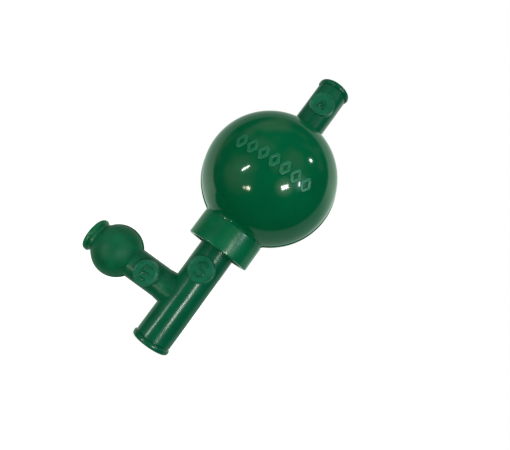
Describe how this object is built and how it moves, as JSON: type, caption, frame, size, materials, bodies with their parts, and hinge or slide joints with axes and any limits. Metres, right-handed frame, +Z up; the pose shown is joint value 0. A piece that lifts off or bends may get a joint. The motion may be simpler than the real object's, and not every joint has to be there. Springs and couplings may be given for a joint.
{
  "type": "pipette filler bulb",
  "caption": "Squeeze bulb on a T-shaped valve tube that sucks up and lets out liquid through a pipette, with pinch valves marked A, S and E and a small side bulb.",
  "frame": {"origin": "centre of the pipette socket's mouth, at the lower end of the suction tube", "axes": "+Z up the main axis from the pipette socket to the air tube, -X along the expel branch to the side bulb, -Y is the front with the three valve pads"},
  "size_m": [0.0807, 0.0625, 0.1445],
  "materials": {
    "bulb_rubber": "polished dark green dipped rubber, glossy",
    "tube_rubber": "moulded dark green rubber, semi-gloss",
    "side_bulb_rubber": "moulded dark green rubber, satin",
    "pad_rubber": "moulded green rubber, satin, raised rim and letter",
    "ball_glass": "ground and polished glass ball"
  },
  "bodies": {
    "filler_body": {"bulb_shell": "bulb_rubber", "neck_collar": "tube_rubber", "neck_plug": "tube_rubber", "air_tube": "tube_rubber", "air_ball": "ball_glass", "suction_tube": "tube_rubber", "suction_ball": "ball_glass", "expel_tube": "tube_rubber", "expel_ball": "ball_glass", "side_bulb_shell": "side_bulb_rubber", "side_bulb_mouth": "side_bulb_rubber"},
    "bulb_front": {"bulb_front_wall": "bulb_rubber", "grip_marks": "bulb_rubber"},
    "bulb_back": {"bulb_back_wall": "bulb_rubber"},
    "side_bulb_front": {"side_bulb_front_wall": "side_bulb_rubber"},
    "side_bulb_back": {"side_bulb_back_wall": "side_bulb_rubber"},
    "air_valve": {"air_pad": "pad_rubber"},
    "suction_valve": {"suction_pad": "pad_rubber"},
    "expel_valve": {"expel_pad": "pad_rubber"}
  },
  "joints": [
    {"name": "bulb_squeeze", "type": "slide", "parent": "filler_body", "child": "bulb_front", "axis": [0, 1, 0], "range_m": [0, 0.012], "stiffness_N_per_m": 300},
    {"name": "bulb_squeeze_back", "type": "slide", "parent": "filler_body", "child": "bulb_back", "axis": [0, -1, 0], "range_m": [0, 0.012], "stiffness_N_per_m": 300},
    {"name": "side_bulb_squeeze", "type": "slide", "parent": "filler_body", "child": "side_bulb_front", "axis": [0, 1, 0], "range_m": [0, 0.0032], "stiffness_N_per_m": 400},
    {"name": "side_bulb_squeeze_back", "type": "slide", "parent": "filler_body", "child": "side_bulb_back", "axis": [0, -1, 0], "range_m": [0, 0.0032], "stiffness_N_per_m": 400},
    {"name": "air_valve_pinch", "type": "slide", "parent": "filler_body", "child": "air_valve", "axis": [0, 1, 0], "range_m": [0, 0.0009], "stiffness_N_per_m": 1500},
    {"name": "suction_valve_pinch", "type": "slide", "parent": "filler_body", "child": "suction_valve", "axis": [0, 1, 0], "range_m": [0, 0.0009], "stiffness_N_per_m": 1500},
    {"name": "expel_valve_pinch", "type": "slide", "parent": "filler_body", "child": "expel_valve", "axis": [0, 1, 0], "range_m": [0, 0.0009], "stiffness_N_per_m": 1500}
  ],
  "couplings": [
    {"joint": "bulb_squeeze_back", "follows": "bulb_squeeze", "ratio": 1},
    {"joint": "side_bulb_squeeze_back", "follows": "side_bulb_squeeze", "ratio": 1}
  ]
}
